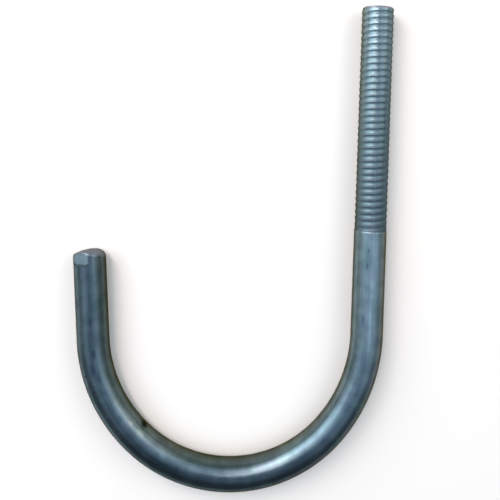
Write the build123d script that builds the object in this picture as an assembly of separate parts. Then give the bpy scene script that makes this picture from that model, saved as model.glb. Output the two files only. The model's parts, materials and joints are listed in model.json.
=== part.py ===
from build123d import *
import os

# A J bolt, cold bent from one drawn steel rod. It lies flat on its side: the threaded leg runs
# along +Y, the hook opens towards +Y, and the short leg with the sheared end is on the -X side.
# All sizes are in millimetres. The helical thread is too fine for this solid, so the threaded
# stretch is turned to the diameter on which the thread's crests lie.

# the rod
rod_diameter = 6.35
long_leg_length = 64.4  # from the tip to the start of the bend
short_leg_length = 17.3  # from the end of the bend to the middle of the sheared end

# the hook, bent round a former, which leaves it tightest in the middle
hook_inside_radius = 23.0  # in the middle of the bend, where the pipe rests
long_side_inside_radius = 27.3
short_side_inside_radius = 25.3
middle_angle = 92
long_side_angle = 36.5
short_side_angle = 47

# the threaded leg
thread_length = 43.8  # from the tip to where the last turn has faded out
thread_diameter = 6.22  # over the crests, a little under the rod
thread_pitch = 1.27
runout_turns = 1  # the last turn rises to the rod's own surface
tip_chamfer = 0.3  # at 45 degrees

# the sheared end, as the shear left it
shear_angle = 6  # how far the cut is from square, longer on the side that faces the other leg
shear_rounding = 0.8  # the rolled rim of the cut
shear_flat_depth = 0.3  # the flat that the shear's hold-down pressed into the rod
shear_flat_length = 2.1
shear_flat_turn = 20  # from the top of the rod towards the outside of the hook, in degrees

cutter_overlap = 1  # how far each cutter stands out of the metal it cuts

rod_radius = rod_diameter / 2
thread_radius = thread_diameter / 2
runout_length = runout_turns * thread_pitch


def bend():
    """The bend of the rod's axis, from 0, 0 where the long leg ends: three arcs, each tangent to the last."""
    sides = (
        (long_side_inside_radius, long_side_angle),
        (hook_inside_radius, middle_angle),
        (short_side_inside_radius, short_side_angle),
    )
    arcs = []
    start = (0, 0)
    heading = (0, -1)
    for inside_radius, angle in sides:
        arcs.append(JernArc(start, heading, inside_radius + rod_radius, -angle))
        start = arcs[-1] @ 1
        heading = arcs[-1] % 1
    return arcs


def short_leg_end():
    """Where the sheared end's middle lies, beside bend(): x up, y inwards, z along the leg."""
    last = bend()[-1]
    return Plane(last @ 1 + last % 1 * short_leg_length, x_dir=(0, 0, 1), z_dir=last % 1).location


def bent_rod():
    """The rod after bending. Its short leg is left a rod's diameter too long, for the shear."""
    last = bend()[-1]
    long_leg = Line((0, long_leg_length), (0, 0))
    short_leg = Line(last @ 1, last @ 1 + last % 1 * (short_leg_length + rod_diameter))
    section = Plane(long_leg @ 0, z_dir=long_leg % 0) * Circle(rod_radius)
    return sweep(section, path=Wire([long_leg, *bend(), short_leg]))


def turned_away():
    """The ring of metal outside the threaded stretch: its chamfered tip, its crests and its run-out."""
    full_thread_end = long_leg_length - thread_length + runout_length
    outline = Polygon(
        (thread_radius - tip_chamfer, long_leg_length + cutter_overlap),
        (thread_radius - tip_chamfer, long_leg_length),
        (thread_radius, long_leg_length - tip_chamfer),
        (thread_radius, full_thread_end),
        (rod_radius, full_thread_end - runout_length),
        (rod_radius + cutter_overlap, full_thread_end - runout_length),
        (rod_radius + cutter_overlap, long_leg_length + cutter_overlap),
        align=None,
    )
    return revolve(outline, Axis.Y)


def sheared(rod):
    """The rod with its short leg cut off a little out of square and the rim of the cut rolled over."""
    offcut = Box(
        2 * rod_diameter,
        2 * rod_diameter,
        2 * rod_diameter,
        align=(Align.CENTER, Align.CENTER, Align.MIN),
    )
    cut_off = rod - short_leg_end() * Rot(shear_angle, 0, 0) * offcut
    cut_face = cut_off.faces().sort_by_distance(short_leg_end().position)[0]
    return fillet(cut_face.edges(), shear_rounding)


def pressed_flat():
    """The metal pushed aside beside the sheared end, towards the top and the outside of the hook."""
    block = Box(
        rod_diameter,
        rod_diameter,
        shear_flat_length + rod_diameter,
        align=(Align.MIN, Align.CENTER, Align.MIN),
    )
    beside_end = Pos(rod_radius - shear_flat_depth, 0, -shear_flat_length) * block
    return short_leg_end() * Rot(0, 0, -shear_flat_turn) * beside_end


def lying_on_origin(solid):
    """The solid moved until the middle of its underside is at the origin."""
    box = solid.bounding_box()
    return Pos(-box.center().X, -box.center().Y, -box.min.Z) * solid


j_bolt = lying_on_origin(sheared(bent_rod() - turned_away()) - pressed_flat())

os.makedirs("parts", exist_ok=True)
export_step(j_bolt, "parts/j_bolt.step")
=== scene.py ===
import json
from math import pi, radians

import bpy
import numpy as np
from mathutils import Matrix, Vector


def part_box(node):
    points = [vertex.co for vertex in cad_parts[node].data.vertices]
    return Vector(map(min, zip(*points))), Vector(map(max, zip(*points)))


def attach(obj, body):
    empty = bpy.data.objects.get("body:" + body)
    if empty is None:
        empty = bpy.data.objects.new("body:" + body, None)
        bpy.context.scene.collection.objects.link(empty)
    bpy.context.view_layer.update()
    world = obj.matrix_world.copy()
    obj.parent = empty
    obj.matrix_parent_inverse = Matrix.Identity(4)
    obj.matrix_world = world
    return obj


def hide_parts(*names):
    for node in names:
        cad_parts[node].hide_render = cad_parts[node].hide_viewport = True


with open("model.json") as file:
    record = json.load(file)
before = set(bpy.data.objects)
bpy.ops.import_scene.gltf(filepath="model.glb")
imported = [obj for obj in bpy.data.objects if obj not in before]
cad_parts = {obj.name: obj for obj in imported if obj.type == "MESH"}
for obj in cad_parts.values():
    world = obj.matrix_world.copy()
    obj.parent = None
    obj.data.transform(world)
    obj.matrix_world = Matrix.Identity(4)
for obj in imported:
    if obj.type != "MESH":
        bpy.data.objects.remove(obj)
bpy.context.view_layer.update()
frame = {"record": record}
mm = 0.001

# The rod's axis as one line: the long leg, three tangent arcs and the short leg. Lengths in mm, angles
# in degrees. It starts at the threaded tip, and every other size is measured along it from there.
rodLine = {
    "longLeg": 64.4,
    "arcRadii": (30.475, 26.175, 28.475),  # of the axis, tightest in the middle of the hook
    "arcAngles": (36.5, 92.0, 47.0),
    "shortLeg": 17.3,  # to the middle of the sheared end
}

boltLow, boltHigh = (np.array(corner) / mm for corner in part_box("j_bolt"))
rodRadius = (boltHigh[2] - boltLow[2]) / 2
tip = np.array([boltHigh[0] - rodRadius, boltHigh[1]])
print("frame: rod radius %.3f mm, tip at %.2f, %.2f" % (rodRadius, *tip))


def sideways(turned):
    # the direction out of the hook once the line has turned by this angle
    return np.stack([np.cos(turned), -np.sin(turned)], -1)


def forwards(turned):
    # the line's heading once it has turned by this angle, from -Y on the long leg round to +Y
    return np.stack([-np.sin(turned), -np.cos(turned)], -1)


def rodStretches():
    # start distance, start point, angle turned so far and radius of each stretch, with radius 0 for a leg
    stretches = [(0.0, tip, 0.0, 0.0)]
    distance = rodLine["longLeg"]
    point = tip + distance * forwards(0.0)
    turned = 0.0
    for radius, degrees in zip(rodLine["arcRadii"], rodLine["arcAngles"]):
        stretches.append((distance, point, turned, radius))
        middle = point - radius * sideways(turned)
        turned += radians(degrees)
        distance += radius * radians(degrees)
        point = middle + radius * sideways(turned)
    stretches.append((distance, point, turned, 0.0))
    return stretches


stretches = rodStretches()
bendEnd = stretches[-1][0]
rodLength = bendEnd + rodLine["shortLeg"]


def rodPlaces(distance):
    # Point of the axis and direction out of the hook, at each distance from the tip.
    # On a leg: start + heading * way. On an arc: middle + radius * outward, turned by way / radius.
    centre = np.empty(distance.shape + (2,))
    outward = np.empty(distance.shape + (2,))
    for start, point, turned, radius in stretches:
        here = distance >= start if start else np.full(distance.shape, True)
        way = distance[here] - start
        if radius:
            outward[here] = sideways(turned + way / radius)
            centre[here] = point + radius * (outward[here] - sideways(turned))
        else:
            outward[here] = sideways(turned)
            centre[here] = point + forwards(turned) * way[:, None]
    return centre, outward


bolt = {
    "sides": 88,  # faces round the rod
    "pitch": 1.27,  # 20 turns to the inch
    "crestRadius": frame["record"]["mounts"][0]["dims"]["r_mm"],
    "threadLength": 43.95,  # tip to shoulder
    "flankSlope": 0.7,  # the fall for each mm along the rod
    "threadDepth": 0.11,  # barely pressed in: a full thread would be 0.7 deep
    "crestWidth": 0.5,
    "crownRadius": 2.0,  # of the crests, which are left slightly round
    "cornerSoftness": 0.08,  # rounding of the thread's corners
    "crestStart": -98,  # where the first crest leaves the tip, degrees round from the outside
    "runout": 2.4,  # the roots rise to the surface over this way
    "neckDepth": 0.04,  # hollow that the die leaves before the shoulder
    "shoulderRise": 0.24,  # way over which the shoulder steps up to the rod
    "tipChamfer": 0.3,
    "shearAngle": 3.5,  # out of square, longer towards the inside
    "shearOverhang": 3.5,  # and towards the top
    "shearBow": 0.46,  # how far the sides of the cut are drawn back
    "shearReach": 0.3,  # of the cut's middle, past the short leg's length
    "shearRounding": (0.35, 1.2),  # the rolled rim of the cut, on the outside and on the inside
    "flatDepth": 0.42,
    "flatLength": 2.2,
    "flatRamp": 0.6,  # way over which the flat sinks to its depth
    "flatSoftness": 0.16,  # rounding of the flat's edges
    "flatFacing": 65,  # direction that the pressed flat faces, degrees from the outside over the top
    "threadStep": 0.0635,  # way between two rows of the grid
    "bendStep": 0.6,
    "legStep": 1.0,
    "endStep": 0.1,
    "rimRows": 9,  # rows of the sheared end's rolled rim
    "tipRings": (0.02, 0.25, 0.5, 0.75, 0.93),  # rings of either end's face, as shares of its radius
    "endRings": (0.85, 0.65, 0.45, 0.25, 0.02),
}
surfaceMasks = ("groove", "thread", "endFace", "pressed")  # from 0 to 1, for the material


def softMax(a, b, softness):
    # larger of two heights, its corner rounded: half of a + b + the root of (a - b)^2 + softness^2
    return 0.5 * (a + b + np.sqrt((a - b) ** 2 + softness**2))


def eased(share):
    # smooth rise from 0 to 1, held before and after: 3 t^2 - 2 t^3
    share = np.clip(share, 0.0, 1.0)
    return share * share * (3 - 2 * share)


def grooveDepth(distance, angle):
    # Depth below the crests. The turn count is distance / pitch less the angle's share of a turn, so the
    # groove winds right-handed. The crest falls as a crown, way^2 / (2 * radius), then each flank with
    # its slope, down to a flat root. The root rises in a cone towards the shoulder, up to the neck's depth.
    turns = distance / bolt["pitch"] - (angle - radians(bolt["crestStart"])) / (2 * pi)
    fromCrest = np.abs(turns - np.round(turns)) * bolt["pitch"]
    crown = fromCrest**2 / (2 * bolt["crownRadius"])
    flank = (fromCrest - bolt["crestWidth"] / 2) * bolt["flankSlope"]
    opened = softMax(crown, flank, bolt["cornerSoftness"] / 2)
    fading = np.clip((bolt["threadLength"] - distance) / bolt["runout"], 0.0, 1.0)
    root = bolt["neckDepth"] + (bolt["threadDepth"] - bolt["neckDepth"]) * fading
    return -softMax(-opened, -root, bolt["cornerSoftness"])


def surfaceRadius(distance, angle):
    # Radius of the rod: the crests less the groove, kept under the tip's 45 degree chamfer, then the
    # shoulder's smooth step up to the plain rod.
    threaded = bolt["crestRadius"] - np.clip(grooveDepth(distance, angle), 0.0, None)
    threaded = np.minimum(threaded, bolt["crestRadius"] - bolt["tipChamfer"] + distance)
    step = eased((distance - bolt["threadLength"]) / bolt["shoulderRise"] + 0.5)
    return threaded + (rodRadius - threaded) * step


def boltRows():
    # distances of the grid's rows, close together on the thread and from just before the flat
    threadEnd = bolt["threadLength"] + bolt["shoulderRise"]
    fineStart = rodLength - bolt["flatLength"] - 3 * bolt["endStep"]
    rimStart = rodLength - max(bolt["shearRounding"]) - bolt["endStep"]
    spans = [
        (0.0, threadEnd, bolt["threadStep"]),
        (threadEnd, rodLine["longLeg"], bolt["legStep"]),
        (rodLine["longLeg"], bendEnd, bolt["bendStep"]),
        (bendEnd, fineStart, bolt["legStep"]),
        (fineStart, rimStart, bolt["endStep"]),
    ]
    return np.concatenate([np.linspace(a, b, int((b - a) / step), endpoint=False) for a, b, step in spans])


def boltGrid():
    # Grid of distance along the rod and angle round it, from the outside over the top. Its rows are the
    # tip's flat face, the rod, the quarter-round rim of the sheared end, and that end's face.
    angle = np.linspace(0, 2 * pi, bolt["sides"], endpoint=False)
    rows = boltRows()
    distance, around = np.meshgrid(rows, angle, indexing="ij")
    radius = surfaceRadius(distance, around)
    inThread = distance < bolt["threadLength"]
    groove = np.where(inThread, grooveDepth(distance, around) / bolt["threadDepth"], 0.0)

    tipRings = np.array(bolt["tipRings"])[:, None]
    tipRadius = tipRings * np.full(angle.shape, bolt["crestRadius"] - bolt["tipChamfer"])

    # Rim: radius = rod - rounding * (1 - cos a), distance = cut - rounding * (1 - sin a). The rounding goes
    # from the outside's to the inside's with the cosine of the angle. Cut: a plane that leans by both
    # angles, less a bow that grows with the square of the way outwards or inwards.
    turn = np.linspace(0, pi / 2, bolt["rimRows"])[:, None]
    outerRounding, innerRounding = bolt["shearRounding"]
    rounding = outerRounding + (innerRounding - outerRounding) * (1 - np.cos(angle)) / 2
    overhang = np.tan(radians(bolt["shearOverhang"]))
    lean = -np.tan(radians(bolt["shearAngle"])) * np.cos(angle) + overhang * np.sin(angle)
    cut = rodLength + bolt["shearReach"]
    bow = bolt["shearBow"] * (np.cos(angle) / rodRadius) ** 2
    rimRadius = rodRadius - rounding * (1 - np.cos(turn))
    rimDistance = cut + lean * rimRadius - bow * rimRadius**2 - rounding * (1 - np.sin(turn))
    endRadius = np.array(bolt["endRings"])[:, None] * (rodRadius - rounding)
    endDistance = cut + lean * endRadius - bow * endRadius**2

    # past the flat's edge the rows lean more and more, until they meet the leaning rim
    leanStart = rodLength - bolt["flatLength"] + bolt["flatRamp"] + bolt["endStep"]
    share = np.clip((distance - leanStart) / (rows[-1] - leanStart), 0, 1)
    distance = distance + share * (rimDistance[0] - bolt["endStep"] / 2 - rows[-1])

    parts = (tipRadius, radius, rimRadius, endRadius)

    def stacked(*values):
        # one value or array for each part, spread over that part's rows
        return np.vstack([np.broadcast_to(value, part.shape) for value, part in zip(values, parts)])

    return {
        "distance": stacked(0.0, distance, rimDistance, endDistance),
        "radius": stacked(*parts),
        "around": stacked(angle, angle, angle, angle),
        "groove": stacked(0.0, groove, 0.0, 0.0),
        "thread": stacked(0.0, inThread, 0.0, 0.0),
        "endFace": stacked(1.0, 0.0, np.sin(turn), 1.0),
    }


def pressFlat(grid):
    # Near the sheared end no point stands further out than the flat, along the direction that it faces:
    # height = min(rod, flat) - (softness - |rod - flat|)^2 / (4 * softness) where they are that close.
    # The flat sinks in smoothly over its ramp.
    along = np.cos(grid["around"] - radians(bolt["flatFacing"]))
    share = eased((grid["distance"] - rodLength + bolt["flatLength"]) / bolt["flatRamp"])
    limit = rodRadius - bolt["flatDepth"] * share
    softness = bolt["flatSoftness"] * share + 1e-6  # never 0, because it divides
    above = grid["radius"] * along - limit
    rounded = np.clip(softness - np.abs(above), 0.0, None) ** 2 / (4 * softness)
    height = limit + np.minimum(above, 0.0) - rounded
    pressed = (share > 0) & (above > -softness)
    grid["radius"] = np.where(pressed, height / np.where(pressed, along, 1.0), grid["radius"])
    grid["pressed"] = pressed * share * np.clip((above + softness) / (2 * softness), 0.0, 1.0)


def closedGrid(rowCount, sides):
    # quads between the rows and round the rod, and a fan of triangles to the middle of either end
    index = np.arange(rowCount * sides).reshape(rowCount, sides)
    after = np.roll(index, -1, axis=1)
    quads = np.stack([index[:-1], after[:-1], after[1:], index[1:]], -1).reshape(-1, 4)
    firstPole = np.full(sides, rowCount * sides)
    firstFan = np.stack([firstPole, after[0], index[0]], -1)
    lastFan = np.stack([firstPole + 1, index[-1], after[-1]], -1)
    return quads.tolist() + firstFan.tolist() + lastFan.tolist()


def buildBolt():
    # A point lies at axis + radius * (cos(angle) * outward + sin(angle) * up).
    grid = boltGrid()
    pressFlat(grid)
    flatPart = grid["radius"] * np.cos(grid["around"])
    upPart = grid["radius"] * np.sin(grid["around"])
    centre, outward = rodPlaces(grid["distance"])
    points = np.dstack([centre + outward * flatPart[..., None], rodRadius + upPart])
    straight = np.dstack([flatPart, upPart, grid["distance"]])

    rowCount, sides = flatPart.shape
    poles = [points[0].mean(0), points[-1].mean(0)]
    vertices = np.vstack([points.reshape(-1, 3), poles]) * mm
    mesh = bpy.data.meshes.new("zincPlatedJBolt")
    mesh.from_pydata(vertices.tolist(), [], closedGrid(rowCount, sides))
    mesh.polygons.foreach_set("use_smooth", np.ones(len(mesh.polygons), bool))

    # for the material: the place on the rod as if it were straight, and the masks
    straightRod = np.vstack([straight.reshape(-1, 3), [straight[0].mean(0), straight[-1].mean(0)]]) * mm
    place = mesh.attributes.new("straightRod", "FLOAT_VECTOR", "POINT")
    place.data.foreach_set("vector", straightRod.astype(np.float32).ravel())
    for name in surfaceMasks:
        poleValues = [grid[name][0, 0], grid[name][-1, 0]]
        mask = mesh.attributes.new(name, "FLOAT", "POINT")
        mask.data.foreach_set("value", np.append(grid[name].ravel(), poleValues).astype(np.float32))

    piece = bpy.data.objects.new("zincPlatedJBolt", mesh)
    bpy.context.scene.collection.objects.link(piece)
    print("bolt: %d rows of %d, %d faces" % (rowCount, sides, len(mesh.polygons)))
    return piece


def linear(hexCode):
    # sRGB hex to the linear colour that the shader wants
    parts = [int(hexCode[i : i + 2], 16) / 255 for i in (1, 3, 5)]
    return (*(p / 12.92 if p <= 0.04045 else ((p + 0.055) / 1.055) ** 2.4 for p in parts), 1.0)


def addNode(tree, kind, settings, links=None):
    # Adds a node. A setting is one of its own values, an input by name or number, or a colour ramp's stops.
    node = tree.nodes.new(kind)
    for name, value in settings.items():
        if name == "stops":
            elements = node.color_ramp.elements
            while len(elements) < len(value):
                elements.new(1.0)
            for element, (position, colour) in zip(elements, value):
                element.position = position
                element.color = colour
        elif isinstance(name, str) and hasattr(node, name):
            setattr(node, name, value)
        else:
            node.inputs[name].default_value = value
    for name, source in (links or {}).items():
        tree.links.new(source, node.inputs[name])
    return node


def newMaterial(name):
    material = bpy.data.materials.new(name)
    material.use_nodes = True
    material.node_tree.nodes.clear()
    return material, material.node_tree


# Bright zinc with a blue passivate, barrel-plated on cold-drawn steel: a thin satin metal that takes its
# light from its surroundings, cool on top. Its colour also holds painted light: a painted highlight
# along the top, painted shade round the hook and in the thread's grooves, and a painted olive reflection
# round the sides.
flatStart = rodLength - bolt["flatLength"]
flatFull = flatStart + bolt["flatRamp"]
zinc = {
    # Ramps: what each is read on, from where to where, and its stops, each a colour or a share.
    # "along" is in mm from the tip. "outward" and "height" are in rod radii from the rod's axis, and
    # "towardsFlat" in mm from it. The noises and the surface's masks run from 0 to 1.
    "ramps": {
        "plateAndShade": (  # the plate's colour, with painted light and shade along the rod
            "along",
            (0, rodLength),
            [
                # lighter on the long leg and at 122 to 134 mm, darker round the rest of the hook and on the
                # short leg
                (40, "#7f95a0"),
                (60, "#7b919c"),
                (90, "#768b96"),
                (112, "#6f838d"),
                (122, "#788c96"),
                (134, "#768a94"),
                (145, "#697c86"),
                (158, "#64767f"),
                (166, "#687a84"),
            ],
        ),
        "threadColourAndHighlight": (  # the thread's colour, with painted light: lighter at the tip, darker towards the shoulder
            "along",
            (0, rodLength),
            [(3, "#869ca5"), (12, "#7a9099"), (28, "#6a7e89"), (42, "#61747f")],
        ),
        "topHighlight": (  # painted highlight along the top
            "outward",
            (-1, 1),
            [
                (-0.8, 0.0),
                (-0.71, 0.24),
                (-0.6, 0.24),
                (-0.46, 0.06),
                (-0.34, 0.1),
                (-0.12, 0.67),
                (0.0, 1.0),
                (0.14, 0.2),
                (0.26, 0.0),
            ],
        ),
        "bendShadeAlong": (  # painted shade on the outside of the bend, its share along the rod and across it
            "along",
            (0, rodLength),
            [(82, 0.0), (90, 0.6), (98, 0.65), (105, 0.45), (112, 0.65), (122, 1.0), (134, 0.3), (148, 0.0)],
        ),
        "bendShadeAcross": (
            "outward",
            (-1, 1),
            [(-0.4, 0.0), (-0.24, 0.4), (-0.06, 1.0), (0.14, 0.8), (0.32, 0.55), (1.0, 0.4)],
        ),
    },
    # Noise: width and length of its lumps in mm, and its detail.
    "noise": {
        "streaks": (0.4, 14, 2.0),  # left by the drawing die, coarser than the real ones so that they show
        "clouds": (2.6, 2.6, 3.0),
        "grain": (0.32, 0.32, 2.0),
        "tints": (3.4, 3.4, 1.0),
    },
    # Edges: what each is read on, where its mask is 0, and where it has risen smoothly to 1.
    "edges": {
        "beforeBend": ("along", 74, 60),
        "outerRimReflection": ("outward", 0.45, 0.8),
        "longSide": ("along", 120, 100),
        "cloudy": ("clouds", 0.65, 0.35),
        "greenPatch": ("tints", 0.45, 0.3),
        "purplePatch": ("tints", 0.55, 0.7),
        "root": ("groove", 0.3, 0.95),
        "outerHalfShade": ("outward", -0.03, 0.3),
        "tipEdge": ("along", 0.4, 0.25),
        "lowSidesReflection": ("height", 0.8, 0.1),
        "pastLongSide": ("along", 90, 108),
        "hollowSideShade": ("outward", -0.45, -0.8),
        "stepStart": ("along", flatStart - 0.2, flatStart),
        "stepEnd": ("along", flatFull + 0.2, flatFull),
        "flatSide": ("towardsFlat", 2.6, 2.76),
        "streaky": ("streaks", 0.55, 0.3),
    },
    # Coats, in the order that they lie: a colour or a ramp, its share, how it is mixed, and the masks
    # that it is held to.
    "coats": [
        # painted highlight along the top of the long leg
        ("#c6dce6", 0.9, "MIX", ("beforeBend", "topHighlight")),
        ("#7c828a", 1.0, "MULTIPLY", ("bendShadeAlong", "bendShadeAcross")),  # painted shade on the outside of the bend
        ("#dcc9b8", 1.0, "MULTIPLY", ("outerRimReflection", "longSide")),  # painted brownish reflection and shade along the outer rim
        ("#e2e4e6", 1.0, "MULTIPLY", ("cloudy",)),
        ("#f1fbf5", 1.0, "MULTIPLY", ("greenPatch",)),  # the passivate's faint colours
        ("#fbf6fc", 1.0, "MULTIPLY", ("purplePatch",)),
        # the thread's colour with its painted light
        ("threadColourAndHighlight", 1.0, "MIX", ("thread",)),
        # painted highlight along the top of the thread
        ("#c6dce6", 0.14, "MIX", ("thread", "topHighlight")),
        ("#667f89", 1.0, "MIX", ("root",)),  # painted shade in the thread's grooves
        ("#dcdfe2", 1.0, "MULTIPLY", ("outerHalfShade", "thread")),  # painted shade on the thread's side away from the hook
        ("#a19fae", 1.0, "MIX", ("tipEdge",)),
        ("#e4cca8", 0.8, "MULTIPLY", ("lowSidesReflection",)),  # painted olive reflection and shade round the low sides
        ("#d6d7d1", 1.0, "MULTIPLY", ("pastLongSide", "hollowSideShade")),  # painted shade on the inner side of the hook and the short leg
        ("#90a8b4", 0.85, "MIX", ("pressed",)),
        ("#7e848d", 1.0, "MIX", ("endFace",)),  # the cut's torn steel
        ("#cfd2d3", 1.0, "MULTIPLY", ("stepStart", "stepEnd", "flatSide")),  # painted shade along the step down to the flat
        ("#eaecee", 1.0, "MULTIPLY", ("streaky",)),
    ],
    "edgeTint": "#ada596",  # of the metal seen at a glancing angle
    "roughness": (0.26, 0.34),  # from one end of the clouds to the other
    "threadRoughness": (0.34, 0.48),  # at the tip and at the shoulder
    "duller": [  # a roughness and the masks that it is held to
        (0.42, ("pressed",)),
        (0.6, ("stepStart", "stepEnd", "flatSide")),
        (0.5, ("endFace",)),
    ],
    "bumps": {"grain": 0.25, "streaks": 0.3},  # the strength of each
    "bumpHeight": 0.01,  # mm
    "markRim": (1.9, 0.9),  # way out from a mark's middle plus the grain, where it has faded and is full
}

# Stains and rubbed spots. Place: mm from the tip, and degrees from the outside over the top. Size: half
# the length and half the width, mm.
marks = {
    "oilSpot": {"place": (128.5, 166), "size": (0.85, 0.9), "colour": "#1f2018", "share": 1.0},
    "rubA": {"place": (128.2, 131), "size": (1.0, 0.4), "colour": "#a3b4a8", "share": 0.2},
    "rubB": {"place": (131.0, 127), "size": (0.6, 0.4), "colour": "#a3b4a8", "share": 0.18},
    "dampA": {"place": (153.3, 96), "size": (1.0, 0.4), "colour": "#3c4c60", "share": 0.45},
    "dampB": {"place": (147.2, 102), "size": (0.9, 0.45), "colour": "#36465c", "share": 0.7},
    "dampC": {"place": (144.2, 90), "size": (1.3, 0.55), "colour": "#36465c", "share": 0.6},
    "dampD": {"place": (142.2, 103), "size": (1.1, 0.3), "colour": "#36465c", "share": 0.4},
    "pitA": {"place": (143.1, 54), "size": (0.22, 0.25), "colour": "#1d2b38", "share": 0.8},
    "pitB": {"place": (140.0, 71), "size": (0.2, 0.22), "colour": "#1d2b38", "share": 0.6},
    "scuffA": {"place": (47.5, 104), "size": (0.5, 0.2), "colour": "#4a6076", "share": 0.6},
    "scuffB": {"place": (50.4, 106), "size": (0.7, 0.2), "colour": "#4a6076", "share": 0.7},
    "scuffC": {"place": (60.9, 115), "size": (1.2, 0.22), "colour": "#4a6076", "share": 0.7},
}


def markMask(tree, place, grain, mark):
    # 1 inside an ellipse round the mark's place, fading at a ragged rim: |place - middle| / size + grain
    distance, angle = mark["place"][0], radians(mark["place"][1])
    middle = [value * mm for value in (rodRadius * np.cos(angle), rodRadius * np.sin(angle), distance)]
    length, width = (1 / (value * mm) for value in mark["size"])
    settings = {"operation": "SUBTRACT", 1: middle}
    offset = addNode(tree, "ShaderNodeVectorMath", settings, {0: place}).outputs[0]
    settings = {"operation": "MULTIPLY", 1: (width, width, length)}
    offset = addNode(tree, "ShaderNodeVectorMath", settings, {0: offset}).outputs[0]
    away = addNode(tree, "ShaderNodeVectorMath", {"operation": "LENGTH"}, {0: offset}).outputs["Value"]
    away = addNode(tree, "ShaderNodeMath", {"operation": "ADD"}, {0: away, 1: grain}).outputs[0]
    faded, full = zinc["markRim"]
    settings = {"interpolation_type": "SMOOTHSTEP", "From Min": faded, "From Max": full}
    return addNode(tree, "ShaderNodeMapRange", settings, {"Value": away}).outputs[0]


def plateReadings(tree, place):
    # what ramps and edges are read on: an output, and what one unit is on it
    parts = addNode(tree, "ShaderNodeSeparateXYZ", {}, {0: place}).outputs
    facing = radians(bolt["flatFacing"])
    settings = {"operation": "DOT_PRODUCT", 1: (np.cos(facing), np.sin(facing), 0)}
    towardsFlat = addNode(tree, "ShaderNodeVectorMath", settings, {0: place}).outputs["Value"]
    readings = {
        "along": (parts["Z"], mm),
        "outward": (parts["X"], rodRadius * mm),
        "height": (parts["Y"], rodRadius * mm),
        "towardsFlat": (towardsFlat, mm),
    }
    for name in surfaceMasks:
        mask = addNode(tree, "ShaderNodeAttribute", {"attribute_name": name}).outputs["Fac"]
        readings[name] = (mask, 1.0)
    for name, (width, length, detail) in zinc["noise"].items():
        # long lumps come from a place that is squeezed along the rod
        settings = {"operation": "MULTIPLY", 1: (1, 1, width / length)}
        squeezed = addNode(tree, "ShaderNodeVectorMath", settings, {0: place}).outputs[0]
        settings = {"Scale": 1 / (width * mm), "Detail": detail}
        noise = addNode(tree, "ShaderNodeTexNoise", settings, {"Vector": squeezed}).outputs[0]
        readings[name] = (noise, 1.0)
    return readings


def stopColour(value):
    # a ramp's stop is a hex colour, or a share as a grey
    return linear(value) if isinstance(value, str) else (value, value, value, 1.0)


def plateMasks(tree, readings):
    # the attributes' masks as they are, the edges, and the ramps, of which two are colours
    masks = {name: readings[name][0] for name in ("thread", "endFace", "pressed")}
    for name, (reading, none, full) in zinc["edges"].items():
        source, unit = readings[reading]
        settings = {"interpolation_type": "SMOOTHSTEP", "From Min": none * unit, "From Max": full * unit}
        masks[name] = addNode(tree, "ShaderNodeMapRange", settings, {"Value": source}).outputs[0]
    for name, (reading, (low, high), stops) in zinc["ramps"].items():
        source, unit = readings[reading]
        settings = {"From Min": low * unit, "From Max": high * unit}
        share = addNode(tree, "ShaderNodeMapRange", settings, {"Value": source}).outputs[0]
        settings = {"stops": [((place - low) / (high - low), stopColour(value)) for place, value in stops]}
        masks[name] = addNode(tree, "ShaderNodeValToRGB", settings, {0: share}).outputs[0]
    return masks


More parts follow.
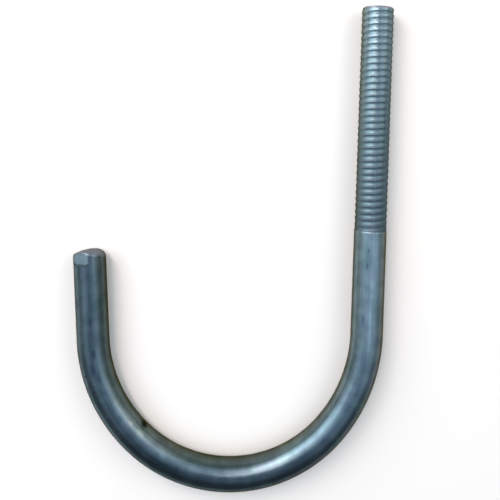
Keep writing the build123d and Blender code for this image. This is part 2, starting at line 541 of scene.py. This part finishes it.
def zincPlate():
    # Colour: one coat over another, each mixed in by its share times all of its masks. Roughness: the
    # plate's own with the clouds, then the thread's, then that of the duller places.
    material, tree = newMaterial("blueZincPlateOnDrawnSteel")
    place = addNode(tree, "ShaderNodeAttribute", {"attribute_name": "straightRod"}).outputs["Vector"]
    readings = plateReadings(tree, place)
    masks = plateMasks(tree, readings)
    grain = readings["grain"][0]
    coats = list(zinc["coats"])
    for name, mark in marks.items():
        masks[name] = markMask(tree, place, grain, mark)
        coats.append((mark["colour"], mark["share"], "MIX", (name,)))

    def allOf(names):
        # where all of these masks hold: their product
        product, *others = (masks[name] for name in names)
        for mask in others:
            links = {0: product, 1: mask}
            product = addNode(tree, "ShaderNodeMath", {"operation": "MULTIPLY"}, links).outputs[0]
        return product

    # the plate's colour with its painted light and shade along the rod, under the coats
    colour = masks["plateAndShade"]
    for above, share, way, where in coats:
        settings = {"operation": "MULTIPLY", 1: share}
        strength = addNode(tree, "ShaderNodeMath", settings, {0: allOf(where)}).outputs[0]
        settings = {"data_type": "RGBA", "blend_type": way}
        links = {0: strength, 6: colour}
        if above in masks:
            links[7] = masks[above]
        else:
            settings[7] = linear(above)
        colour = addNode(tree, "ShaderNodeMix", settings, links).outputs[2]

    clearest, cloudiest = zinc["roughness"]
    settings = {"To Min": clearest, "To Max": cloudiest}
    rough = addNode(tree, "ShaderNodeMapRange", settings, {"Value": readings["clouds"][0]}).outputs[0]
    tipRough, shoulderRough = zinc["threadRoughness"]
    settings = {"From Max": bolt["threadLength"] * mm, "To Min": tipRough, "To Max": shoulderRough}
    threadRough = addNode(tree, "ShaderNodeMapRange", settings, {"Value": readings["along"][0]}).outputs[0]
    links = {0: masks["thread"], 2: rough, 3: threadRough}
    rough = addNode(tree, "ShaderNodeMix", {"data_type": "FLOAT"}, links).outputs[0]
    for value, where in zinc["duller"]:
        settings = {"data_type": "FLOAT", 3: value}
        rough = addNode(tree, "ShaderNodeMix", settings, {0: allOf(where), 2: rough}).outputs[0]

    normal = {}
    for name, strength in zinc["bumps"].items():
        settings = {"Strength": strength, "Distance": zinc["bumpHeight"] * mm}
        bump = addNode(tree, "ShaderNodeBump", settings, {"Height": readings[name][0], **normal})
        normal = {"Normal": bump.outputs[0]}

    settings = {"Metallic": 1.0, "Specular Tint": linear(zinc["edgeTint"])}
    links = {"Base Color": colour, "Roughness": rough, **normal}
    shader = addNode(tree, "ShaderNodeBsdfPrincipled", settings, links)
    addNode(tree, "ShaderNodeOutputMaterial", {}, {"Surface": shader.outputs[0]})
    print("zinc plate: %d coats, %d nodes" % (len(coats), len(tree.nodes)))
    return material


piece = buildBolt()
piece.data.materials.append(zincPlate())
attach(piece, "root")
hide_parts("j_bolt")

# The white card that the bolt lies on.
stage = {
    "halfWidth": 6.0,  # m, far enough to reach the horizon in a low view
    "card": "#fcfaf7",
    "haze": "#f5f5f4",
    "hazeReach": (0.12, 0.4),  # m from the middle, where it begins and where it is full
}


def whiteCard():
    # plain diffuse card; past the lamps' reach it fades into the pale light of the horizon
    material, tree = newMaterial("whiteCardFloor")
    card = addNode(tree, "ShaderNodeBsdfDiffuse", {"Color": linear(stage["card"])})
    haze = addNode(tree, "ShaderNodeEmission", {"Color": linear(stage["haze"])})
    place = addNode(tree, "ShaderNodeTexCoord", {}).outputs["Object"]
    away = addNode(tree, "ShaderNodeVectorMath", {"operation": "LENGTH"}, {0: place}).outputs["Value"]
    nearEnd, farEnd = stage["hazeReach"]
    settings = {"interpolation_type": "SMOOTHSTEP", "From Min": nearEnd, "From Max": farEnd}
    far = addNode(tree, "ShaderNodeMapRange", settings, {"Value": away}).outputs[0]
    shader = addNode(tree, "ShaderNodeMixShader", {}, {0: far, 1: card.outputs[0], 2: haze.outputs[0]})
    addNode(tree, "ShaderNodeOutputMaterial", {}, {"Surface": shader.outputs[0]})
    return material


corners = np.array([(-1, -1, 0), (1, -1, 0), (1, 1, 0), (-1, 1, 0)]) * stage["halfWidth"]
floorMesh = bpy.data.meshes.new("floor")
floorMesh.from_pydata(corners.tolist(), [], [(0, 1, 2, 3)])
floorMesh.materials.append(whiteCard())
floor = bpy.data.objects.new("floor", floorMesh)
bpy.context.scene.collection.objects.link(floor)
print("floor: %.0f m across" % (2 * stage["halfWidth"]))

# Soft light of a room with its windows to the north: brightest above the middle, dim overhead and low
# down, and dark to the south, where the person who looks at the bolt stands.
room = {
    "byHeight": [  # cosine of the angle from overhead, and the light there
        (0.0, (0.64, 0.65, 0.65, 1)),
        (0.12, (0.60, 0.61, 0.60, 1)),
        (0.26, (0.41, 0.40, 0.33, 1)),
        (0.5, (0.50, 0.61, 0.69, 1)),
        (0.7, (0.85, 0.93, 1.00, 1)),
        (0.85, (0.80, 0.95, 1.10, 1)),
        (1.0, (0.20, 0.28, 0.38, 1)),
    ],
    "south": (0.12, 0.13, 0.15, 1),
    "southEnd": -0.64,  # Y of the direction at which the south is darkest
    "northEnd": -0.30,  # and at which nothing is left of it
}
# Windows and lamps. Place: degrees round from east, degrees from overhead and metres from the middle.
lampDistance = 0.35
lamps = {
    "window": {"place": (127, 33), "size": (0.280, 0.044), "radiance": 12.0, "colour": "#ffe7d8"},
    "northWest": {"place": (148, 53), "size": (0.256, 0.316), "radiance": 2.18, "colour": "#fafcff"},
    "north": {"place": (15, 47), "size": (0.165, 0.152), "radiance": 1.3, "colour": "#ffe6d2"},
    "northEast": {"place": (36, 60), "size": (0.285, 0.251), "radiance": 1.04, "colour": "#fff4e6"},
}


def lightRoom():
    # colour = the height's, giving way to the south's as the direction's Y falls
    world = bpy.data.worlds.new("softRoom")
    bpy.context.scene.world = world
    world.use_nodes = True
    tree = world.node_tree
    tree.nodes.clear()
    place = addNode(tree, "ShaderNodeTexCoord", {})
    parts = addNode(tree, "ShaderNodeSeparateXYZ", {}, {0: place.outputs["Generated"]})
    byHeight = addNode(tree, "ShaderNodeValToRGB", {"stops": room["byHeight"]}, {0: parts.outputs["Z"]})
    southEnd, northEnd = room["southEnd"], room["northEnd"]
    settings = {"interpolation_type": "SMOOTHSTEP", "From Min": southEnd, "From Max": northEnd}
    northward = addNode(tree, "ShaderNodeMapRange", settings, {"Value": parts.outputs["Y"]})
    settings = {"data_type": "RGBA", 6: room["south"]}
    mix = addNode(tree, "ShaderNodeMix", settings, {0: northward.outputs[0], 7: byHeight.outputs[0]})
    background = addNode(tree, "ShaderNodeBackground", {"Strength": 1.0}, {"Color": mix.outputs[2]})
    addNode(tree, "ShaderNodeOutputWorld", {}, {"Surface": background.outputs[0]})


def addLamp(name, lamp):
    # an area lamp's power is its radiance * pi * area
    azimuth, fromTop = (radians(value) for value in lamp["place"])
    data = bpy.data.lights.new(name, "AREA")
    data.shape = "RECTANGLE"
    data.size, data.size_y = lamp["size"]
    data.energy = lamp["radiance"] * pi * data.size * data.size_y
    data.color = linear(lamp["colour"])[:3]
    holder = bpy.data.objects.new(name, data)
    bpy.context.scene.collection.objects.link(holder)
    way = np.array([np.cos(azimuth) * np.sin(fromTop), np.sin(azimuth) * np.sin(fromTop), np.cos(fromTop)])
    holder.location = way * lampDistance
    holder.rotation_euler = (0, fromTop, azimuth)


lightRoom()
for name, lamp in lamps.items():
    addLamp(name, lamp)
print("light: room and %d lamps" % len(lamps))

# The camera looks straight down, and its view is shifted to take in the whole bolt.
camera = {
    "foot": (3.059, 26.085),  # the point straight below it, mm
    "height": 130.4,  # above the rod's axis, mm
    "lens": 47.5,  # focal length, mm
    "turn": 2.03,  # degrees round from north
    "shift": -0.27,  # of the view towards north, as a share of its width
    "clipStart": 0.01,  # m
}
cameraData = bpy.data.cameras.new("camera")
cameraData.lens = camera["lens"]
cameraData.shift_y = camera["shift"]
cameraData.clip_start = camera["clipStart"]
cameraHolder = bpy.data.objects.new("camera", cameraData)
bpy.context.scene.collection.objects.link(cameraHolder)
cameraHolder.location = np.array([*camera["foot"], rodRadius + camera["height"]]) * mm
cameraHolder.rotation_euler = (0, 0, radians(camera["turn"]))
bpy.context.scene.camera = cameraHolder
bpy.context.scene.view_settings.view_transform = "Standard"
print("camera: %.1f mm above the rod's axis" % camera["height"])
